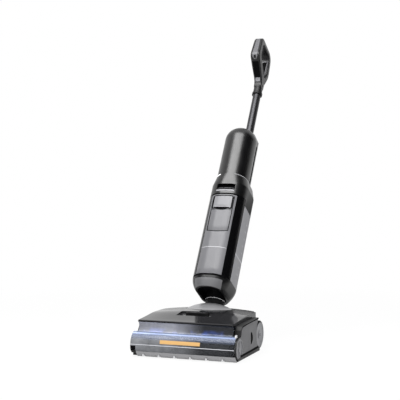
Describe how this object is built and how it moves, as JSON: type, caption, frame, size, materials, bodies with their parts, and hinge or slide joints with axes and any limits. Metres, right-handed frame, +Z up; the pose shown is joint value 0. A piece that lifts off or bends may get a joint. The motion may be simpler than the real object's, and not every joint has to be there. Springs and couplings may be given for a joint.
{
  "type": "wet dry floor scrubber",
  "caption": "Cordless upright wet dry floor scrubber: wide head with a driven roller under a clear cover, pitching and swivelling neck, reclined body with two tanks, thin tube and loop handle.",
  "frame": {"origin": "on the floor, at the middle of the machine's bounding box as it stands reclined", "axes": "+Z up, +X across the head, -Y the way the head faces, +Y towards the user"},
  "size_m": [0.31, 0.7834, 0.9614],
  "materials": {
    "base_chassis": "satin",
    "base_plate": "matte",
    "base_screws": "satin",
    "rear_squeegee": "matte",
    "front_lip": "satin",
    "rear_deck_cover": "gloss",
    "side_cover_right": "satin",
    "side_cover_left": "satin",
    "roller_end_cap": "satin",
    "roller_bearings": "satin",
    "roller_motor": "satin",
    "drive_belt": "matte",
    "roller_scraper": "matte",
    "spray_bar": "satin",
    "suction_duct": "matte",
    "led_strip": "gloss",
    "wheel_motors": "satin",
    "pivot_pins": "satin",
    "roller_cover": "gloss",
    "cover_latch": "satin",
    "roller_core": "satin",
    "roller_sleeve": "matte",
    "roller_pulley": "satin",
    "motor_pulley": "satin",
    "wheel_tyre_right": "matte",
    "wheel_hub_right": "satin",
    "wheel_tyre_left": "matte",
    "wheel_hub_left": "satin",
    "neck_yoke": "satin",
    "neck_shroud": "gloss",
    "body_frame": "gloss",
    "swivel_sleeve": "matte",
    "swivel_ring": "gloss",
    "lower_cap": "gloss",
    "battery_cells": "satin",
    "water_pump": "matte",
    "shoulder_cover": "gloss",
    "suction_motor": "satin",
    "circuit_board": "satin",
    "upper_housing": "gloss",
    "dome_cap": "gloss",
    "spine_shell": "gloss",
    "pole_tube": "satin",
    "tube_ring": "satin",
    "handle_right": "satin",
    "handle_left": "satin",
    "front_plate": "satin",
    "soft_grip": "matte",
    "impeller": "satin",
    "dirty_tank_shell": "gloss",
    "tank_lid": "gloss",
    "tank_filter": "matte",
    "latch_spring": "satin",
    "tank_latch": "satin",
    "tank_float": "satin",
    "clean_tank": "gloss",
    "filler_plug": "matte",
    "power_button": "gloss",
    "mode_button": "satin",
    "self_clean_button": "satin"
  },
  "bodies": {
    "head": {"base_chassis": "base_chassis", "base_plate": "base_plate", "base_screws": "base_screws", "rear_squeegee": "rear_squeegee", "front_lip": "front_lip", "rear_deck_cover": "rear_deck_cover", "side_cover_right": "side_cover_right", "side_cover_left": "side_cover_left", "roller_end_cap": "roller_end_cap", "roller_bearings": "roller_bearings", "roller_motor": "roller_motor", "drive_belt": "drive_belt", "roller_scraper": "roller_scraper", "spray_bar": "spray_bar", "suction_duct": "suction_duct", "led_strip": "led_strip", "wheel_motors": "wheel_motors", "pivot_pins": "pivot_pins"},
    "cover": {"roller_cover": "roller_cover"},
    "cover_latch": {"cover_latch": "cover_latch"},
    "roller": {"roller_core": "roller_core", "roller_sleeve": "roller_sleeve", "roller_pulley": "roller_pulley"},
    "motor_rotor": {"motor_pulley": "motor_pulley"},
    "wheel_right": {"wheel_tyre_right": "wheel_tyre_right", "wheel_hub_right": "wheel_hub_right"},
    "wheel_left": {"wheel_tyre_left": "wheel_tyre_left", "wheel_hub_left": "wheel_hub_left"},
    "neck": {"neck_yoke": "neck_yoke", "neck_shroud": "neck_shroud"},
    "body": {"body_frame": "body_frame", "swivel_sleeve": "swivel_sleeve", "swivel_ring": "swivel_ring", "lower_cap": "lower_cap", "battery_cells": "battery_cells", "water_pump": "water_pump", "shoulder_cover": "shoulder_cover", "suction_motor": "suction_motor", "circuit_board": "circuit_board", "upper_housing": "upper_housing", "dome_cap": "dome_cap", "spine_shell": "spine_shell", "pole_tube": "pole_tube", "tube_ring": "tube_ring", "handle_right": "handle_right", "handle_left": "handle_left", "front_plate": "front_plate", "soft_grip": "soft_grip"},
    "fan": {"impeller": "impeller"},
    "dirty_tank": {"dirty_tank_shell": "dirty_tank_shell", "tank_lid": "tank_lid", "tank_filter": "tank_filter", "latch_spring": "latch_spring"},
    "tank_latch": {"tank_latch": "tank_latch"},
    "tank_float": {"tank_float": "tank_float"},
    "clean_tank": {"clean_tank": "clean_tank"},
    "filler_plug": {"filler_plug": "filler_plug"},
    "power_button": {"power_button": "power_button"},
    "mode_button": {"mode_button": "mode_button"},
    "self_clean_button": {"self_clean_button": "self_clean_button"}
  },
  "joints": [
    {"name": "roller_spin", "type": "hinge", "parent": "head", "child": "roller", "pos_m": [0, -0.3538, 0.033], "axis": [1, 0, 0], "continuous": true},
    {"name": "roller_motor_spin", "type": "hinge", "parent": "head", "child": "motor_rotor", "pos_m": [-0.12, -0.2838, 0.062], "axis": [1, 0, 0], "continuous": true},
    {"name": "wheel_right_spin", "type": "hinge", "parent": "head", "child": "wheel_right", "pos_m": [0.128, -0.1308, 0.0405], "axis": [1, 0, 0], "continuous": true},
    {"name": "wheel_left_spin", "type": "hinge", "parent": "head", "child": "wheel_left", "pos_m": [-0.128, -0.1308, 0.0405], "axis": [1, 0, 0], "continuous": true},
    {"name": "cover_lift", "type": "slide", "parent": "head", "child": "cover", "axis": [0, -0.6, 0.8], "range_m": [0, 0.06]},
    {"name": "cover_latch_press", "type": "slide", "parent": "cover", "child": "cover_latch", "axis": [0, 1, 0], "range_m": [0, 0.003], "stiffness_N_per_m": 400, "springref_m": -0.002},
    {"name": "neck_pitch", "type": "hinge", "parent": "head", "child": "neck", "pos_m": [0, -0.1796, 0.045], "axis": [-1, 0, 0], "range_deg": [-32.3, 43]},
    {"name": "body_swivel", "type": "hinge", "parent": "neck", "child": "body", "pos_m": [0, -0.14754, 0.09572], "axis": [0, 0.5344, 0.8453], "range_deg": [-40, 40]},
    {"name": "fan_spin", "type": "hinge", "parent": "body", "child": "fan", "pos_m": [0, 0.07399, 0.5472], "axis": [0, 0.5344, 0.8453], "continuous": true},
    {"name": "dirty_tank_out", "type": "slide", "parent": "body", "child": "dirty_tank", "axis": [0, -0.8453, 0.5344], "range_m": [0, 0.12]},
    {"name": "tank_latch_press", "type": "slide", "parent": "dirty_tank", "child": "tank_latch", "axis": [0, 0.8453, -0.5344], "range_m": [0, 0.002], "stiffness_N_per_m": 600, "springref_m": -0.001, "deforming": ["latch_spring"]},
    {"name": "float_rise", "type": "slide", "parent": "dirty_tank", "child": "tank_float", "axis": [0, 0.5344, 0.8453], "range_m": [0, 0.025]},
    {"name": "clean_tank_out", "type": "slide", "parent": "body", "child": "clean_tank", "axis": [0, 0.8453, -0.5344], "range_m": [0, 0.1]},
    {"name": "filler_plug_out", "type": "slide", "parent": "clean_tank", "child": "filler_plug", "axis": [0, 0.8453, -0.5344], "range_m": [0, 0.03]},
    {"name": "power_press", "type": "slide", "parent": "body", "child": "power_button", "axis": [0, 0.9877, 0.1564], "range_m": [0, 0.0012], "stiffness_N_per_m": 600, "springref_m": -0.001},
    {"name": "mode_press", "type": "slide", "parent": "body", "child": "mode_button", "axis": [0, -0.5344, -0.8453], "range_m": [0, 0.0012], "stiffness_N_per_m": 600, "springref_m": -0.001},
    {"name": "self_clean_press", "type": "slide", "parent": "body", "child": "self_clean_button", "axis": [0, -0.5344, -0.8453], "range_m": [0, 0.0012], "stiffness_N_per_m": 600, "springref_m": -0.001}
  ],
  "couplings": [
    {"joint": "roller_spin", "follows": "roller_motor_spin", "ratio": 0.5}
  ]
}
